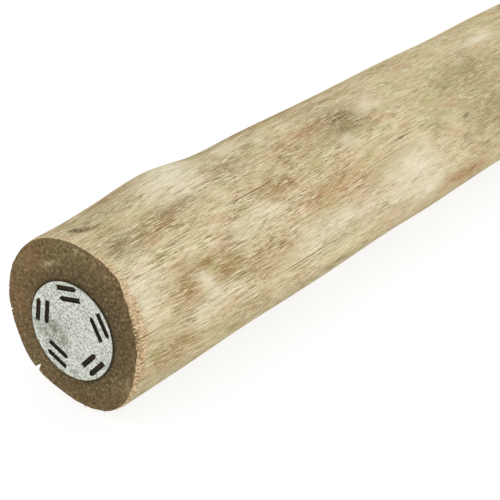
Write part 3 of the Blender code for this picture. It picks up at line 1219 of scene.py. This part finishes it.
def timber_end():
    """Sawn end grain: dark brown, with rays, faint growth rings and pale torn flecks."""
    s = Shader("timber_end")
    disc = s.attribute("disc", "Vector")
    flat = s.vector("MULTIPLY", disc, (1, 1, 0))
    away = s.vector("LENGTH", flat, output="Value")
    heading = s.vector("MULTIPLY", s.vector("NORMALIZE", flat), (0.5, 0.5, 0.5))
    rays = s.noise(s.vector("ADD", heading, disc), (0.0075, 0.0075, 1.0), detail=5, roughness=0.72)
    blotch = s.noise(disc, (0.014, 0.014, 0.014), detail=4, roughness=0.6)
    speck = s.noise(disc, (0.0038, 0.0038, 0.0038), detail=4, roughness=0.74)
    warp = s.maths("ADD", away, s.maths("MULTIPLY", blotch, 0.004))
    rings = s.maths("SINE", s.maths("MULTIPLY", warp, math.tau / 0.0036))

    colour = s.lay(END_OLIVE, END_BROWN, blotch, 0.36, 0.66)
    colour = s.lay(colour, END_RED, away, 0.056, 0.082, 0.25)
    colour = s.lay(colour, END_DARK, away, 0.068, 0.046, 0.40)
    colour = s.mix(s.attribute("red"), colour, END_RED)
    colour = s.mix(s.attribute("olive"), colour, END_MOSS)
    colour = s.lay(colour, END_RED, rays, 0.51, 0.60, 0.60)
    colour = s.lay(colour, END_DARK, rays, 0.49, 0.39)
    colour = s.lay(colour, END_DARK, rings, 0.2, 1.0, 0.14)
    colour = s.lay(colour, END_PALE, speck, 0.53, 0.66, 0.40)
    colour = s.lay(colour, END_DARK, speck, 0.49, 0.37, 0.60)
    pale = s.maths("MULTIPLY", s.attribute("pale"), s.remap(speck, 0.38, 0.60, 0.2, 1.0))
    colour = s.mix(pale, colour, END_PALE)
    # Dirt and painted shade under the plate, painted shade in a thin ring round it
    colour = s.lay(colour, SLOT_SHADE, s.attribute("plate_shade"), 0.0, 1.0, 0.85)

    normal = s.bump(rays, 0.0010)
    normal = s.bump(speck, 0.0006, normal)
    return s.finish(colour, 0.88, normal, specular=0.12)


ZINC = srgb(196, 199, 187)
ZINC_LIGHT = srgb(236, 238, 230)
ZINC_DARK = srgb(124, 127, 112)
ZINC_DIRT = srgb(112, 110, 86)
# Colour of the dirt and painted shade on the slots' walls
SLOT_WALL_DIRT_AND_SHADE = srgb(74, 72, 58)


def galvanised():
    """Hot-dip zinc gone dull: faint spangle, fine speckle, dull patches, and punched edges darkened by dirt
    and painted shade.
    """
    s = Shader("galvanised_zinc")
    spot = s.add("ShaderNodeTexCoord").outputs["Object"]
    spangle = s.red(s.cells(spot, 0.0035))
    cloud = s.noise(spot, (0.014, 0.014, 0.014), detail=3, roughness=0.6)
    speck = s.noise(spot, (0.0021, 0.0021, 0.0021), detail=4, roughness=0.75)
    colour = s.lay(ZINC, ZINC_LIGHT, spangle, 0.0, 1.0, 0.5)
    colour = s.lay(colour, ZINC_DARK, cloud, 0.50, 0.72, 0.35)
    worn = s.maths("MULTIPLY", s.attribute("dirt"), s.remap(cloud, 0.35, 0.60, 0.5, 1.1))
    colour = s.lay_up_to(colour, ZINC_DIRT, worn, 0.85)
    colour = s.lay(colour, ZINC_DARK, speck, 0.51, 0.62, 0.85)
    colour = s.lay(colour, ZINC_LIGHT, speck, 0.48, 0.38, 0.75)
    # Dirt and painted shade on the slots' walls and down the teeth
    colour = s.mix(s.attribute("punched"), colour, SLOT_WALL_DIRT_AND_SHADE)
    normal = s.bump(cloud, 0.0006)
    normal = s.bump(speck, 0.0003, normal)
    roughness = s.remap(speck, 0.3, 0.7, 0.45, 0.62)
    s.surface.inputs["Metallic"].default_value = 0.8
    return s.finish(colour, roughness, normal)


def floor_material():
    s = Shader("floor_pale")
    s.surface.inputs["Base Color"].default_value = (0.22, 0.22, 0.22, 1)
    s.surface.inputs["Roughness"].default_value = 1.0
    s.surface.inputs["Specular IOR Level"].default_value = 0.0
    s.surface.inputs["Emission Color"].default_value = WHITE
    s.surface.inputs["Emission Strength"].default_value = 0.82
    return s.material


def vertex_places(mesh):
    places = np.zeros(len(mesh.vertices) * 3)
    mesh.vertices.foreach_get("co", places)
    return places.reshape(-1, 3)


def dirt_field(mesh):
    """Grime on a plate: dull patches beside its middle, broken up by noise."""
    places = vertex_places(mesh)
    patches = np.zeros(len(places))
    for x, y, size, strength in DIRT_PATCHES:
        patches = np.maximum(patches, strength * bell(np.hypot(places[:, 0] - x, places[:, 1] - y), size))
    broken = smooth_noise(places / 0.006, 71)
    return np.clip(patches * (0.8 + 0.4 * broken), 0, 1)


def slot_dirt_and_shade_field(mesh):
    """1 on the slots' walls, down the teeth and on the hidden inner face, 0 on the outer face and the rim,
    for the dirt and painted shade in the slots.

    The outer face's points come first in the mesh and the teeth's come last.
    """
    places = vertex_places(mesh)
    result = np.zeros(len(places))
    result[mesh["outer_points"] :] = 1
    fold = np.clip((SHEET - 0.0002 - places[:, 2]) / SHEET, 0, 1)
    result[mesh["tooth_points"] :] = fold[mesh["tooth_points"] :]
    result[np.hypot(places[:, 0], places[:, 1]) > PLATE_RADIUS - EDGE_ROUND * 1.5] = 0
    return result


# Scene

FLOOR_RADIUS = 30
FLOOR_GAP = 0.0002


def add_floor():
    bm = bmesh.new()
    bmesh.ops.create_circle(bm, cap_ends=True, radius=FLOOR_RADIUS, segments=96)
    mesh = bpy.data.meshes.new("floor")
    bm.to_mesh(mesh)
    bm.free()
    floor = add_object("floor", mesh, floor_material())
    floor.location.z = -FLOOR_GAP


def add_world():
    world = bpy.data.worlds.new("studio")
    world.use_nodes = True
    background = world.node_tree.nodes["Background"]
    background.inputs["Color"].default_value = WHITE
    background.inputs["Strength"].default_value = 1.0
    bpy.context.scene.world = world


def add_softbox(name, spot, aim, size, power):
    light = bpy.data.lights.new(name, "AREA")
    light.size = size
    light.energy = power
    obj = bpy.data.objects.new(name, light)
    obj.location = spot
    obj.rotation_euler = (Vector(aim) - Vector(spot)).to_track_quat("-Z", "Y").to_euler()
    bpy.context.scene.collection.objects.link(obj)


CAMERA_AZIMUTH = 36.66
CAMERA_ELEVATION = 26.15
CAMERA_LENS = 116.7
CAMERA_SPOT = (0.921, -0.960, 0.732)


def add_camera():
    """Stands in front of the head, to its right and above it, and looks along the post."""
    a, e = math.radians(CAMERA_AZIMUTH), math.radians(CAMERA_ELEVATION)
    back = Vector((math.sin(a) * math.cos(e), -math.cos(a) * math.cos(e), math.sin(e)))
    right = Vector((math.cos(a), math.sin(a), 0))
    up = back.cross(right)
    low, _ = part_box("head_plate")
    centre = Vector((HEAD_PLATE_CENTRE.x, low.y + SHEET, HEAD_PLATE_CENTRE.z))
    data = bpy.data.cameras.new("camera")
    data.sensor_width = 36
    data.lens = CAMERA_LENS
    data.clip_start = 0.01
    data.clip_end = 100
    camera = bpy.data.objects.new("camera", data)
    turned = Matrix((right, up, back)).transposed().to_4x4()
    lean = Matrix.Rotation(-TAPER, 4, "X")
    camera.matrix_world = Matrix.Translation(centre) @ lean @ Matrix.Translation(CAMERA_SPOT) @ turned
    bpy.context.scene.collection.objects.link(camera)
    bpy.context.scene.camera = camera


def place(obj, node, slot):
    """Puts a piece on the root body and hides the CAD node it stands for; slot is not used."""
    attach(obj, "root")
    if node:
        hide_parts(node)


def build():
    post = add_object("post_timber", make_post(), timber_side(), timber_end())
    place(post, "post", "timber")
    splinters = add_object("rim_splinters", make_splinters(), splinter_material())
    place(splinters, None, "timber")
    zinc = galvanised()
    for head, node, seed in ((True, "head_plate", 61), (False, "butt_plate", 81)):
        mesh = plate_mesh(f"{node}_zinc", seed)
        store(mesh, "dirt", dirt_field(mesh))
        store(mesh, "punched", slot_dirt_and_shade_field(mesh))
        mesh.transform(plate_matrix(head))
        plate = add_object(f"{node}_zinc", mesh, zinc)
        place(plate, node, "galvanised_steel")


add_world()
add_softbox("key", spot=(2.3, -1.3, 1.0), aim=(0.0, -0.5, 0.09), size=1.4, power=6)
add_floor()
add_camera()
build()
bpy.context.scene.view_settings.view_transform = "Standard"
